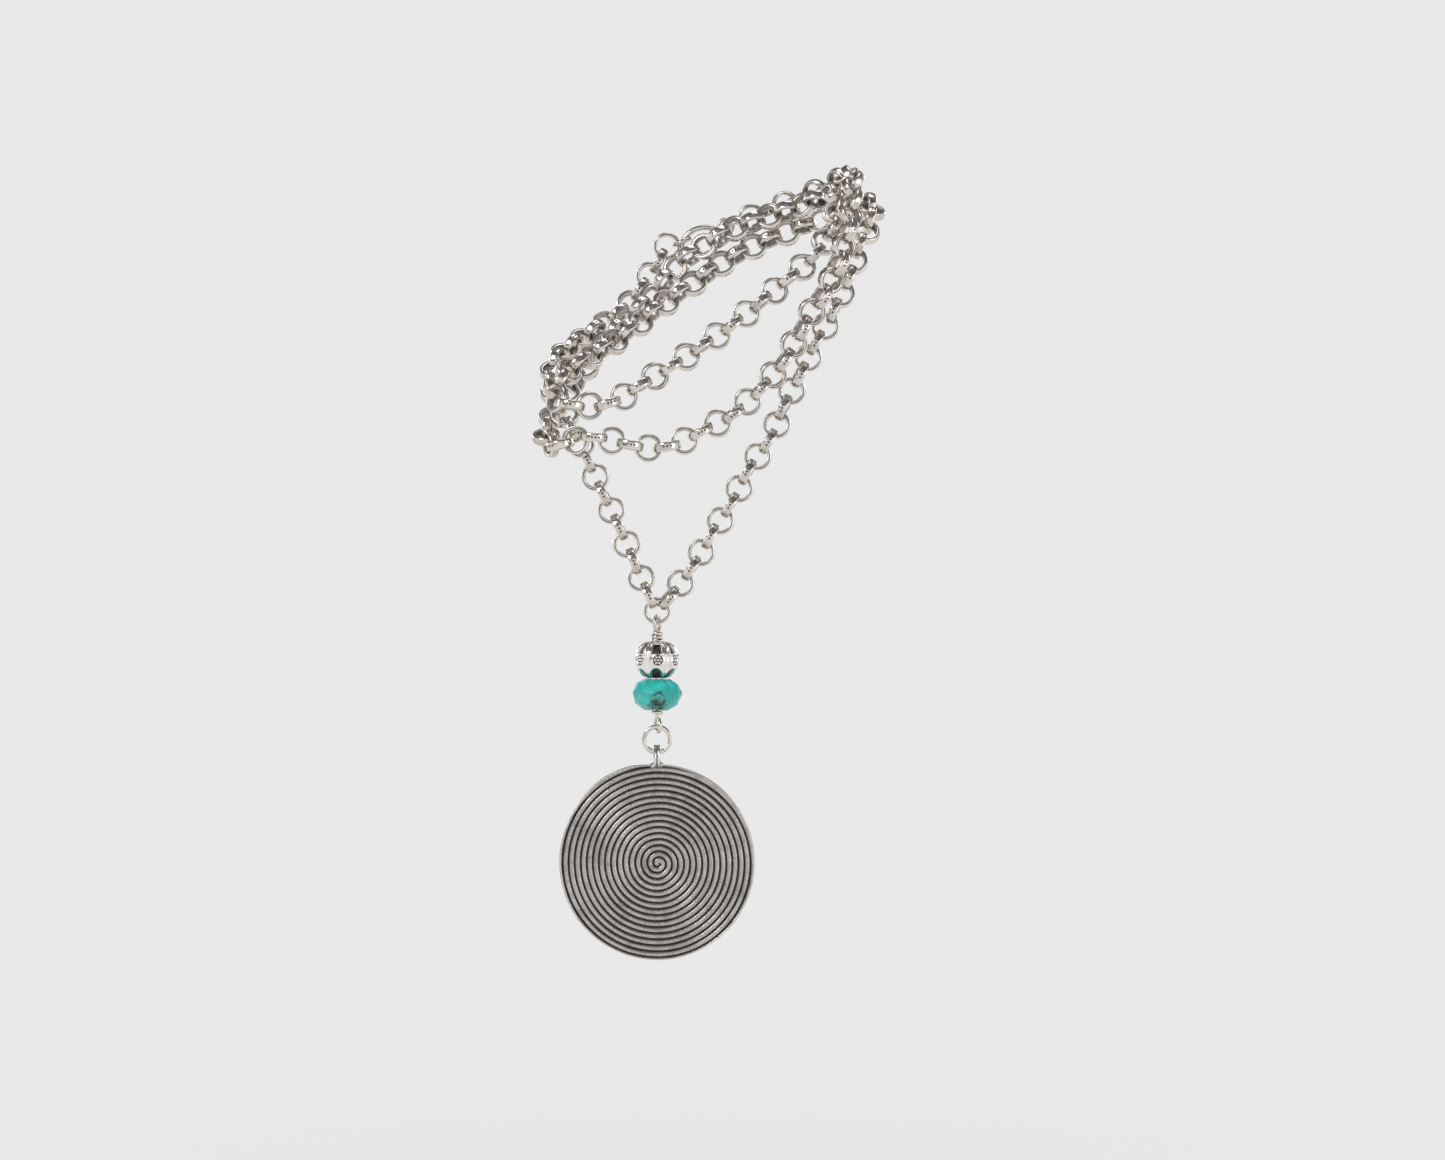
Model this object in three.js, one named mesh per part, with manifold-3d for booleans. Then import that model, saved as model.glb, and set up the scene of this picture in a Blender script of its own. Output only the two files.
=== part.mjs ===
// A long silver chain necklace with a spiral disc pendant, in the shape it takes when worn in three
// laps round a hand. Millimetres, +Z up, front towards -Y. The origin is the saddle between two
// fingers that carries the laps. The pendant hangs in one vertical plane, PLANE_Y.
import * as THREE from 'three';
import { mergeVertices } from 'three/addons/utils/BufferGeometryUtils.js';
import Module from 'manifold-3d';

const wasm = await Module();
wasm.setup();

// Chain: round links of flat band, alternately turned a quarter turn.
const LINK_INNER_R = 1.88;
const LINK_THICK = 0.74;
const LINK_WIDE = 1.6;
const LINK_PITCH = 3.6;
const FIRST_PITCH = 3.42;
const LEFT_LINKS = 9;
const RIGHT_LINKS = 16;
const RUN_R = 2.3;
const RUN_SIDES = 8;

// Pendant: the plane it hangs in, the centre of the link at its top, and its pieces downwards.
const PLANE_Y = -13;
const APEX = new THREE.Vector3(-39.4, PLANE_Y, -78.8);
const WIRE_R = 0.42;
const TOP_EYE = { z: -81.33, mean: 1.52 };
const WRAP = { top: -82.75, turns: 3, step: 0.6, waist: 0.95, r: 1.2 };
const SILVER_BEAD = { z: -88.25, half: 3.5, r: 4.1 };
const TURQUOISE = { z: -94.95, half: 3.1, r: 5, sides: 14 };
const BEAD_HOLE_R = 0.75;
const STOP = { z: -98.5, half: 0.3, r: 1.2 };
const LOW_EYE = { z: -101.05, mean: 1.25 };
const JUMP_RING = { z: -103.75, mean: 2.5, wire: 0.45, slitDeg: -56, slit: 0.2 };
const BAIL = { z: -107.1, mean: 1.9, wire: 0.45 };
const DISC = { z: -127.5, r: 19, half: 0.6, rim: 0.7, sunk: 0.2, edge: 0.15 };
const NOTCH = { wide: 1.6, deep: 1.15 };

// Clasp: its own axis runs along the chain from the first joining ring to the second.
const CLASP_AT = new THREE.Vector3(-21.5, 15.1, -1);
const CLASP_TURN = THREE.MathUtils.degToRad(160.6);
const END_RING = { mean: 1.8, wire: 0.4 };
const FIRST_RING_U = 2.6;
const SECOND_RING_U = 13.95;
const EYE = { u: 4.85, r: 1.8, hole: 1.1, half: 0.65 };
const CLAW = { u: 10.4, w: 1.2, outLong: 4.4, outHigh: 3.2, inLong: 3.3, inHigh: 2.1, half: 1 };
const CLAW_FROM = 146;
const CLAW_TO = 395;
const LEVER_FROM = 37;
const LEVER_TO = 132;
const LEVER_HALF = 0.4;
const LEVER_INSET = 0.06;
const LEVER_REACH = 5.7;
const TIP_GAP = 0.15;
const TIP_BAND_DEG = [-30, 12];
const PIVOT_DEG = 138;
const PIVOT = { pin: 0.3, hole: 0.4, boss: 0.75, ear: 1, slotR: 1.25, slotHalf: 0.55 };
const THUMB = { deg: 104, r: 0.6 };
const SPRING = { inR: 0.87, outR: 1.13, from: 170, to: 262, half: 0.35 };

// The two strands of the V, from the apex link up to where each leaves the hand (x, z).
const LEFT_STRAND = [
  [-39.4, -78.8], [-41, -75.8], [-43.9, -69.1], [-46.9, -62.2], [-50, -55.7], [-52.4, -50.6],
  [-53.7, -47.5],
];
const RIGHT_STRAND = [
  [-39.4, -78.8], [-37.2, -76.4], [-32.6, -70.4], [-28.9, -64.1], [-24.9, -57.8], [-21.3, -51],
  [-17.1, -44.7], [-14.2, -38], [-10.9, -31.4], [-8.7, -27],
];

// The chain's route round the hand, in three runs (x, y, z): from the right of the V over the
// saddle, behind the fingers, round the thumb and up the first swag; then behind, round the thumb,
// up the second swag and over to the clasp; and from the clasp round the thumb to the left of the V.
const RUN_1 = [
  [-8.6, -13, -26.8], [-7.2, -13, -24.4], [-5.5, -12.8, -21.6], [-4.2, -12.4, -18.6],
  [-2.7, -11.6, -15.1], [-1.3, -10.6, -11.3], [0, -9, -7.7], [1.6, -6.4, -4.2],
  [2.4, -2.8, -1.3], [2, 1.6, 0.6], [0.2, 5.8, 0.8], [-3, 9.4, -0.2], [-7.4, 11.4, -1.6],
  [-13, 12, -3.6], [-19.4, 11.8, -6.2], [-25.6, 11.2, -9.4], [-31, 9.7, -13.1],
  [-35.7, 7.5, -16.6], [-38.7, 5.9, -18.8], [-41.6, 4.2, -21], [-45, 1.8, -23.9],
  [-48.9, -1.2, -26.8], [-52.8, -4.8, -29.4], [-56.2, -8.8, -31.8], [-58.6, -12.8, -34.4],
  [-59.1, -16.6, -37], [-57.3, -19.4, -38.8], [-54.2, -20.4, -39.2], [-50.8, -19.9, -39.1],
  [-47.3, -18.9, -38.3], [-41.2, -18, -34.4], [-35.1, -17.2, -30.6], [-28.9, -16.4, -26.4],
  [-20.3, -15.2, -19.9], [-14.4, -14, -14.9], [-9.3, -12.4, -10.3], [-6.4, -10.4, -6.6],
  [-4.9, -7.9, -3], [-4.2, -5.4, -0.7],
];
const RUN_2 = [
  [-4.1, -3.9, 0.6], [-4.5, -1, 2], [-6.2, 3, 2.5], [-9.4, 6.6, 1.6], [-13.6, 8.6, 0.2],
  [-19.4, 9.4, -1.6], [-25.6, 9.2, -4], [-30.4, 9.4, -6.9], [-33.6, 10.4, -8.9],
  [-36.2, 11.2, -11.4], [-38.6, 11.3, -14.1], [-40.6, 10.9, -16.8], [-43, 10.1, -19.3],
  [-46, 8.8, -21.8], [-49, 6.6, -25.2], [-52, 4, -29], [-55.2, 1.2, -33.2],
  [-58.2, -2.2, -37.8], [-60.3, -6.6, -42], [-60.9, -11.4, -45], [-59.4, -15.8, -46.7],
  [-56.7, -18.6, -46.3], [-52.7, -19.3, -45.2], [-49.2, -19, -45.7], [-45.6, -18.7, -46.5],
  [-41.8, -18.4, -47.3], [-38.2, -18.2, -47.2], [-34.7, -18, -46.2], [-31.3, -17.8, -44.4],
  [-24.9, -17.4, -40.9], [-19.3, -17.2, -35.8], [-14.6, -17.1, -30], [-10.9, -16.9, -23.4],
  [-7.3, -16.8, -17.6], [-5.1, -16.4, -13.5], [-3.7, -15.6, -9.8], [-2.8, -14.2, -6],
  [-1.9, -12.2, -1.9], [-1.5, -8.6, 2.2], [-1.3, -3.6, 5.1], [-1.8, 1.5, 6.3], [-3.8, 6.2, 5.8],
  [-7.4, 10.4, 4.2], [-12, 13.6, 2.6], [-17, 15, 0.6], [-21.4, 15.1, -1],
];
const RUN_3 = [
  [-37.9, 15.1, -6.8], [-39.3, 15.1, -9.4], [-41.5, 15, -12.8], [-43.6, 14.8, -16.2],
  [-46.4, 14, -19.4], [-49.8, 12.2, -22], [-53.3, 9.2, -24.6], [-56.8, 5.1, -27.2],
  [-59.2, 0.4, -30.1], [-60, -4.4, -33.9], [-58.8, -9, -38.1], [-56.8, -11.9, -41.6],
  [-55.6, -12.8, -44.4], [-54.1, -13, -46.6],
];
const RUN_STEPS = [30, 35, 14];

const finishes = {
  silver: { color: 0x9a958c, roughness: 0.35, metalness: 1 },
  brightSilver: { color: 0xc9c6c0, roughness: 0.22, metalness: 1 },
  darkSilver: { color: 0x6f7072, roughness: 0.45, metalness: 1 },
  stone: { color: 0x1fae9e, roughness: 0.3, metalness: 0 },
  steel: { color: 0x8f8f8f, roughness: 0.3, metalness: 1 },
};

function piece(name, geometry, finish) {
  const mesh = new THREE.Mesh(geometry, new THREE.MeshStandardMaterial(finishes[finish]));
  mesh.name = name;
  return mesh;
}

function toSolid(geometry) {
  const bare = geometry.clone();
  for (const name of ['normal', 'uv']) bare.deleteAttribute(name);
  const merged = mergeVertices(bare, 1e-4);
  return new wasm.Manifold(new wasm.Mesh({
    numProp: 3,
    vertProperties: new Float32Array(merged.attributes.position.array),
    triVerts: new Uint32Array(merged.index.array),
  }));
}

function toGeometry(solid) {
  const mesh = solid.getMesh();
  const geometry = new THREE.BufferGeometry();
  geometry.setAttribute('position', new THREE.BufferAttribute(mesh.vertProperties, 3));
  geometry.setIndex(new THREE.BufferAttribute(mesh.triVerts, 1));
  geometry.computeVertexNormals();
  return geometry;
}

function joined(...geometries) {
  return toGeometry(geometries.map(toSolid).reduce((whole, next) => whole.add(next)));
}

function cut(geometry, ...tools) {
  return toGeometry(tools.map(toSolid).reduce((left, tool) => left.subtract(tool), toSolid(geometry)));
}

// A solid of revolution about Y. A closed profile makes a ring.
function turned(profile, segments) {
  return new THREE.LatheGeometry(profile.map(([r, y]) => new THREE.Vector2(r, y)), segments);
}

// A ring of round wire about Y.
function wireRing(mean, wire, segments = 18, sides = 8) {
  const profile = [];
  for (let i = 0; i <= sides; i += 1) {
    const angle = (2 * Math.PI * (i % sides)) / sides - Math.PI / 2;
    profile.push([mean + wire * Math.cos(angle), wire * Math.sin(angle)]);
  }
  return turned(profile, segments);
}

// A chain link about Y: a flat band with eased edges.
function linkGeometry() {
  const outer = LINK_INNER_R + LINK_THICK;
  const middle = (LINK_INNER_R + outer) / 2;
  return turned([
    [LINK_INNER_R, -LINK_WIDE / 4], [middle, -LINK_WIDE / 2], [outer, -LINK_WIDE / 4],
    [outer, LINK_WIDE / 4], [middle, LINK_WIDE / 2], [LINK_INNER_R, LINK_WIDE / 4],
    [LINK_INNER_R, -LINK_WIDE / 4],
  ], 14);
}

// A flat plate of a shape drawn in X and Y, centred on Z = 0.
function plate(shape, half, curveSegments = 12) {
  const options = { depth: 2 * half, bevelEnabled: false, curveSegments };
  return new THREE.ExtrudeGeometry(shape, options).translate(0, 0, -half);
}

function round(x, y, r, half, segments = 16) {
  return new THREE.CylinderGeometry(r, r, 2 * half, segments).rotateX(Math.PI / 2).translate(x, y, 0);
}

// Part of an elliptical band between two angles in degrees.
function bandShape(x, y, out, inner, fromDeg, toDeg) {
  const [from, to] = [fromDeg, toDeg].map(THREE.MathUtils.degToRad);
  const shape = new THREE.Shape();
  shape.absellipse(x, y, out[0], out[1], from, to, false);
  shape.lineTo(x + inner[0] * Math.cos(to), y + inner[1] * Math.sin(to));
  shape.absellipse(x, y, inner[0], inner[1], to, from, true);
  return shape;
}

// Links along a strand, alternately edge-on and face-on, from the one next to the apex.
function strand(side, corners, count) {
  const curve = new THREE.CatmullRomCurve3(
    corners.map(([x, z]) => new THREE.Vector3(x, PLANE_Y, z)), false, 'centripetal');
  curve.arcLengthDivisions = 1000;
  const length = curve.getLength();
  const group = new THREE.Group();
  for (let i = 0; i < count; i += 1) {
    const at = (FIRST_PITCH + i * LINK_PITCH) / length;
    const along = curve.getTangentAt(at);
    const depth = new THREE.Vector3(0, 1, 0);
    const across = new THREE.Vector3().crossVectors(along, depth);
    const axis = i % 2 === 0 ? across : depth;
    const third = new THREE.Vector3().crossVectors(along, axis);
    const link = piece(`link_${side}_${String(i + 1).padStart(2, '0')}`, linkGeometry(), 'silver');
    link.quaternion.setFromRotationMatrix(new THREE.Matrix4().makeBasis(along, axis, third));
    link.position.copy(curve.getPointAt(at));
    group.add(link);
  }
  return group;
}

function apexLink() {
  const link = piece('apex_link', linkGeometry(), 'silver');
  link.position.copy(APEX);
  return link;
}

// A stretch of the chain round the hand, as the round envelope that its links turn in.
function run(name, corners, steps) {
  const curve = new THREE.CatmullRomCurve3(
    corners.map(([x, y, z]) => new THREE.Vector3(x, y, z)), false, 'centripetal');
  const section = new THREE.Shape();
  for (let i = 0; i < RUN_SIDES; i += 1) {
    const angle = (2 * Math.PI * i) / RUN_SIDES;
    const point = [RUN_R * Math.cos(angle), RUN_R * Math.sin(angle)];
    if (i === 0) section.moveTo(...point);
    else section.lineTo(...point);
  }
  section.closePath();
  return piece(name, new THREE.ExtrudeGeometry(section, { steps, extrudePath: curve }), 'silver');
}

// Places a piece on the pendant's vertical line at a height.
function hang(mesh, z) {
  mesh.position.set(APEX.x, PLANE_Y, z);
  return mesh;
}

// One wire: the eye in the apex link, the wraps below it, the stem and the lower eye.
function dangleWire() {
  const eye = (part) => wireRing(part.mean, WIRE_R).rotateZ(Math.PI / 2).translate(0, 0, part.z);
  const top = TOP_EYE.z - TOP_EYE.mean;
  const bottom = LOW_EYE.z + LOW_EYE.mean;
  const stem = new THREE.CylinderGeometry(WIRE_R, WIRE_R, top - bottom, 10)
    .rotateX(Math.PI / 2).translate(0, 0, (top + bottom) / 2);
  const coil = [[0, 0]];
  for (let i = 0; i < WRAP.turns; i += 1) {
    for (const [r, part] of [[WRAP.waist, 0.02], [WRAP.r, 0.3], [WRAP.r, 0.7], [WRAP.waist, 0.98]]) {
      coil.push([r, (i + part) * WRAP.step]);
    }
  }
  coil.push([0, WRAP.turns * WRAP.step]);
  const wraps = turned(coil, 14).rotateX(Math.PI / 2).translate(0, 0, WRAP.top - WRAP.turns * WRAP.step);
  return hang(piece('dangle_wire', joined(eye(TOP_EYE), stem, wraps, eye(LOW_EYE)), 'silver'), 0);
}

function beads() {
  const silver = turned([
    [BEAD_HOLE_R, -SILVER_BEAD.half], [1.9, -SILVER_BEAD.half], [3.3, -2.4], [SILVER_BEAD.r, -0.7],
    [SILVER_BEAD.r, 0.7], [3.3, 2.4], [1.9, SILVER_BEAD.half], [BEAD_HOLE_R, SILVER_BEAD.half],
    [BEAD_HOLE_R, -SILVER_BEAD.half],
  ], 20).rotateX(Math.PI / 2);
  const stone = turned([
    [BEAD_HOLE_R, -TURQUOISE.half], [2.5, -TURQUOISE.half], [4.1, -2], [TURQUOISE.r, -0.7],
    [TURQUOISE.r, 0.7], [4.1, 2], [2.5, TURQUOISE.half], [BEAD_HOLE_R, TURQUOISE.half],
    [BEAD_HOLE_R, -TURQUOISE.half],
  ], TURQUOISE.sides).rotateX(Math.PI / 2);
  const stop = turned([
    [WIRE_R + 0.2, -STOP.half], [STOP.r, -STOP.half], [STOP.r, STOP.half], [WIRE_R + 0.2, STOP.half],
    [WIRE_R + 0.2, -STOP.half],
  ], 16).rotateX(Math.PI / 2);
  return [
    hang(piece('silver_bead', silver, 'brightSilver'), SILVER_BEAD.z),
    hang(piece('turquoise_bead', stone, 'stone'), TURQUOISE.z),
    hang(piece('stop_washer', stop, 'silver'), STOP.z),
  ];
}

// The ring between the wire and the disc, sawn through so that it can be opened.
function jumpRing() {
  const saw = new THREE.BoxGeometry(2, 2, JUMP_RING.slit).translate(JUMP_RING.mean, 0, 0)
    .rotateY(THREE.MathUtils.degToRad(-JUMP_RING.slitDeg));
  const ring = cut(wireRing(JUMP_RING.mean, JUMP_RING.wire, 20), saw);
  return hang(piece('jump_ring', ring, 'brightSilver'), JUMP_RING.z);
}

// The disc with its raised rim, flat back and the notch that the bail is soldered in.
function disc() {
  const { r, half, rim, sunk, edge } = DISC;
  const blank = turned([
    [0, -half + sunk], [r - rim, -half + sunk], [r - rim, -half], [r - edge, -half],
    [r, -half + edge], [r, half - edge], [r - edge, half], [0, half],
  ], 72);
  const notch = new THREE.BoxGeometry(NOTCH.wide, 4 * half, 2 * NOTCH.deep).translate(0, 0, r);
  const bail = wireRing(BAIL.mean, BAIL.wire).rotateZ(Math.PI / 2);
  return [
    hang(piece('disc_plate', cut(blank, notch), 'darkSilver'), DISC.z),
    hang(piece('bail_loop', bail, 'brightSilver'), BAIL.z),
  ];
}

function onClaw(deg, long, high) {
  const angle = THREE.MathUtils.degToRad(deg);
  return [CLAW.u + long * Math.cos(angle), CLAW.w + high * Math.sin(angle)];
}

const midLong = (CLAW.outLong + CLAW.inLong) / 2;
const midHigh = (CLAW.outHigh + CLAW.inHigh) / 2;
const pivot = onClaw(PIVOT_DEG, midLong, midHigh);

// Part of a ring about the pivot, on the side of the claw's tip. The lever's tip swings inside
// LEVER_REACH, and the claw's tip ends just outside it.
function tipBand(out, inner) {
  return plate(bandShape(...pivot, [out, out], [inner, inner], ...TIP_BAND_DEG), 2 * CLAW.half, 24);
}

// The claw with its eye, and the fork that holds the lever.
function claspBody() {
  const claw = bandShape(CLAW.u, CLAW.w, [CLAW.outLong, CLAW.outHigh], [CLAW.inLong, CLAW.inHigh],
    CLAW_FROM, CLAW_TO);
  const blank = joined(
    plate(claw, CLAW.half, 24), round(EYE.u, 0, EYE.r, EYE.half), round(...pivot, PIVOT.ear, CLAW.half));
  return piece('clasp_body', cut(blank,
    round(EYE.u, 0, EYE.hole, 2 * CLAW.half),
    tipBand(LEVER_REACH + TIP_GAP, LEVER_REACH / 2),
    round(...pivot, PIVOT.slotR, PIVOT.slotHalf, 20),
    round(...pivot, PIVOT.hole, 2 * CLAW.half)), 'brightSilver');
}

function claspLever() {
  const band = bandShape(CLAW.u, CLAW.w, [CLAW.outLong - LEVER_INSET, CLAW.outHigh - LEVER_INSET],
    [CLAW.inLong + LEVER_INSET, CLAW.inHigh + LEVER_INSET], LEVER_FROM, LEVER_TO);
  const thumb = onClaw(THUMB.deg, CLAW.outLong, CLAW.outHigh);
  const blank = joined(plate(band, LEVER_HALF), round(...pivot, PIVOT.boss, LEVER_HALF),
    round(...thumb, THUMB.r, LEVER_HALF, 12));
  const hole = round(...pivot, PIVOT.hole, 2 * LEVER_HALF);
  return piece('clasp_lever', cut(blank, hole, tipBand(2 * LEVER_REACH, LEVER_REACH)), 'brightSilver');
}

function claspSpring() {
  const strip = bandShape(...pivot, [SPRING.outR, SPRING.outR], [SPRING.inR, SPRING.inR],
    SPRING.from, SPRING.to);
  return piece('clasp_spring', plate(strip, SPRING.half, 8), 'steel');
}

function endRing(name, u) {
  const ring = piece(name, wireRing(END_RING.mean, END_RING.wire), 'silver');
  ring.position.x = u;
  return ring;
}

function clasp() {
  const flat = new THREE.Group();
  flat.add(claspBody(), claspLever(), claspSpring());
  flat.add(piece('clasp_pin', round(...pivot, PIVOT.pin, CLAW.half, 10), 'steel'));
  flat.add(endRing('clasp_ring', FIRST_RING_U), endRing('end_ring', SECOND_RING_U));
  flat.rotation.x = Math.PI / 2;
  const along = new THREE.Group();
  along.add(flat);
  along.rotation.y = CLASP_TURN;
  along.position.copy(CLASP_AT);
  return along;
}

const necklace = new THREE.Group();
necklace.add(apexLink(), strand('left', LEFT_STRAND, LEFT_LINKS));
necklace.add(strand('right', RIGHT_STRAND, RIGHT_LINKS));
necklace.add(dangleWire(), ...beads(), jumpRing(), ...disc(), clasp());
[RUN_1, RUN_2, RUN_3].forEach((corners, i) => {
  necklace.add(run(`chain_run_${i + 1}`, corners, RUN_STEPS[i]));
});

export default necklace;
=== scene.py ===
"""A long silver chain necklace with a spiral disc pendant, looped three times round an unseen hand.

Points and sizes are worked out in millimetres and become metres when a piece's mesh is made.
Front is towards -Y, +X is to the right and +Z is up.
"""

import math
import random

import bmesh
import bpy
from mathutils import Matrix, Vector, noise


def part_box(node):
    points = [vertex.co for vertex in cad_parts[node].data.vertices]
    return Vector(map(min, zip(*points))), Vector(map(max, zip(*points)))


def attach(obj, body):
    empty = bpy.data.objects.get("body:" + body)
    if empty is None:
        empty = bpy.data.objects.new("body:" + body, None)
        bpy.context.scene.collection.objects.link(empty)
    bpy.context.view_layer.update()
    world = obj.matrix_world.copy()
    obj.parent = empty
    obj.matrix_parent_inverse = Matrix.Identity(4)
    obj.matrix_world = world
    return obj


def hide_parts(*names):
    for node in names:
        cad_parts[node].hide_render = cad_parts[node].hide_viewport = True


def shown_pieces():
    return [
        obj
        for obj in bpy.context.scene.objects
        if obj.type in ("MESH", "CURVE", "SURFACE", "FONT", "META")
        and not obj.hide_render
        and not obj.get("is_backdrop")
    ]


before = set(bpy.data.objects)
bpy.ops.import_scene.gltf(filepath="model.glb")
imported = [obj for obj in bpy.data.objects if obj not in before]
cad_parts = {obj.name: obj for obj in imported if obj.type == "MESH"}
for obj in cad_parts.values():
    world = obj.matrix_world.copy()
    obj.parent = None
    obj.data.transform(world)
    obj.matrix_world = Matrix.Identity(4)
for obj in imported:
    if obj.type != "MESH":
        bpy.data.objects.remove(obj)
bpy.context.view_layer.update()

MM = 0.001
TURN = 2 * math.pi
DEPTH = Vector((0, 1, 0))
UP = Vector((0, 0, 1))
rng = random.Random(11)

# Camera: level, square to the pendant's plane, with a long lens. The view's centre is (x, z).
LENS = 150
SENSOR = 36
VIEW_WIDTH = 280.3
VIEW_CENTRE = (-26.7, -72.8)
FLOOR_Z = -190

# Chain: round links of flat band, alternately turned a quarter turn. LINK_TILT is in degrees.
LINK_PITCH = 3.6
LINK_STEPS = 32
LINK_TILT = 3.5
LINK_GROWS = 1.035
CURVE_STEPS = 12

# How far inside a route's end the laps' last links sit, where they pass through the clasp's rings and the
# left arm of the V. A minus is outside.
INSIDE_CLASP_RING = 0.48
INSIDE_END_RING = -0.32
INSIDE_LEFT_ARM = 0.13

# The three laps of chain round the hand, the same routes as in the CAD, in metres (x, y, z).
RUN_1 = [
    (-0.0086, -0.013, -0.0268), (-0.0072, -0.013, -0.0244), (-0.0055, -0.0128, -0.0216),
    (-0.0042, -0.0124, -0.0186), (-0.0027, -0.0116, -0.0151), (-0.0013, -0.0106, -0.0113),
    (0, -0.009, -0.0077), (0.0016, -0.0064, -0.0042), (0.0024, -0.0028, -0.0013),
    (0.002, 0.0016, 0.0006), (0.0002, 0.0058, 0.0008), (-0.003, 0.0094, -0.0002),
    (-0.0074, 0.0114, -0.0016), (-0.013, 0.012, -0.0036), (-0.0194, 0.0118, -0.0062),
    (-0.0256, 0.0112, -0.0094), (-0.031, 0.0097, -0.0131), (-0.0357, 0.0075, -0.0166),
    (-0.0387, 0.0059, -0.0188), (-0.0416, 0.0042, -0.021), (-0.045, 0.0018, -0.0239),
    (-0.0489, -0.0012, -0.0268), (-0.0528, -0.0048, -0.0294), (-0.0562, -0.0088, -0.0318),
    (-0.0586, -0.0128, -0.0344), (-0.0591, -0.0166, -0.037), (-0.0573, -0.0194, -0.0388),
    (-0.0542, -0.0204, -0.0392), (-0.0508, -0.0199, -0.0391), (-0.0473, -0.0189, -0.0383),
    (-0.0412, -0.018, -0.0344), (-0.0351, -0.0172, -0.0306), (-0.0289, -0.0164, -0.0264),
    (-0.0203, -0.0152, -0.0199), (-0.0144, -0.014, -0.0149), (-0.0093, -0.0124, -0.0103),
    (-0.0064, -0.0104, -0.0066), (-0.0049, -0.0079, -0.003), (-0.0042, -0.0054, -0.0007),
]
RUN_2 = [
    (-0.0041, -0.0039, 0.0006), (-0.0045, -0.001, 0.002), (-0.0062, 0.003, 0.0025),
    (-0.0094, 0.0066, 0.0016), (-0.0136, 0.0086, 0.0002), (-0.0194, 0.0094, -0.0016),
    (-0.0256, 0.0092, -0.004), (-0.0304, 0.0094, -0.0069), (-0.0336, 0.0104, -0.0089),
    (-0.0362, 0.0112, -0.0114), (-0.0386, 0.0113, -0.0141), (-0.0406, 0.0109, -0.0168),
    (-0.043, 0.0101, -0.0193), (-0.046, 0.0088, -0.0218), (-0.049, 0.0066, -0.0252),
    (-0.052, 0.004, -0.029), (-0.0552, 0.0012, -0.0332), (-0.0582, -0.0022, -0.0378),
    (-0.0603, -0.0066, -0.042), (-0.0609, -0.0114, -0.045), (-0.0594, -0.0158, -0.0467),
    (-0.0567, -0.0186, -0.0463), (-0.0527, -0.0193, -0.0452), (-0.0492, -0.019, -0.0457),
    (-0.0456, -0.0187, -0.0465), (-0.0418, -0.0184, -0.0473), (-0.0382, -0.0182, -0.0472),
    (-0.0347, -0.018, -0.0462), (-0.0313, -0.0178, -0.0444), (-0.0249, -0.0174, -0.0409),
    (-0.0193, -0.0172, -0.0358), (-0.0146, -0.0171, -0.03), (-0.0109, -0.0169, -0.0234),
    (-0.0073, -0.0168, -0.0176), (-0.0051, -0.0164, -0.0135), (-0.0037, -0.0156, -0.0098),
    (-0.0028, -0.0142, -0.006), (-0.0019, -0.0122, -0.0019), (-0.0015, -0.0086, 0.0022),
    (-0.0013, -0.0036, 0.0051), (-0.0018, 0.0015, 0.0063), (-0.0038, 0.0062, 0.0058),
    (-0.0074, 0.0104, 0.0042), (-0.012, 0.0136, 0.0026), (-0.017, 0.015, 0.0006),
    (-0.0214, 0.0151, -0.001),
]
RUN_3 = [
    (-0.0379, 0.0151, -0.0068), (-0.0393, 0.0151, -0.0094), (-0.0415, 0.015, -0.0128),
    (-0.0436, 0.0148, -0.0162), (-0.0464, 0.014, -0.0194), (-0.0498, 0.0122, -0.022),
    (-0.0533, 0.0092, -0.0246), (-0.0568, 0.0051, -0.0272), (-0.0592, 0.0004, -0.0301),
    (-0.06, -0.0044, -0.0339), (-0.0588, -0.009, -0.0381), (-0.0568, -0.0119, -0.0416),
    (-0.0556, -0.0128, -0.0444), (-0.0541, -0.013, -0.0466),
]
RUNS = (RUN_1, RUN_2, RUN_3)
SWAG_MIDDLES = (RUN_1[31], RUN_2[28])

# Disc: a flat plate with one groove that winds outwards clockwise from beside the centre. The groove's
# angles are clockwise from the left.
PITCH = 1.174
GROOVE_AT_LEFT = 0.92
GROOVE_FROM = -math.radians(215)
GROOVE_FULL = -math.radians(165)
GROOVE_DEEP = 0.36
FACE_SUNK = 0.1
TURNS = 16
DISC_STEPS = 168
DISC_EDGE_BULGE = 0.4
SPIRAL_SHIFT = Vector((0.2, 0, -0.25))
plate_low, plate_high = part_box("disc_plate")
DISC_FRONT, DISC_BACK = plate_low.y / MM, plate_high.y / MM
DISC_RADIUS = (plate_high.z - plate_low.z) / MM / 2

# Beads: the silver one's panels and the stone's sides.
PANELS = 6
STONE_SIDES = 11

# Lighter silver for rubbed wear and for painted highlights: the disc's glints and rim.
RUBBED_AND_HIGHLIGHT_SILVER = (0.93, 0.90, 0.86)


def middle(name):
    """The centre of a CAD node's box, in millimetres."""
    low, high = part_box(name)
    return (low + high) / 2 / MM


def smooth(low, high, value):
    """0 below low, 1 above high, and an eased step between them. It falls if low is above high."""
    share = min(1, max(0, (value - low) / (high - low)))
    return share * share * (3 - 2 * share)


# ---- meshes


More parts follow.
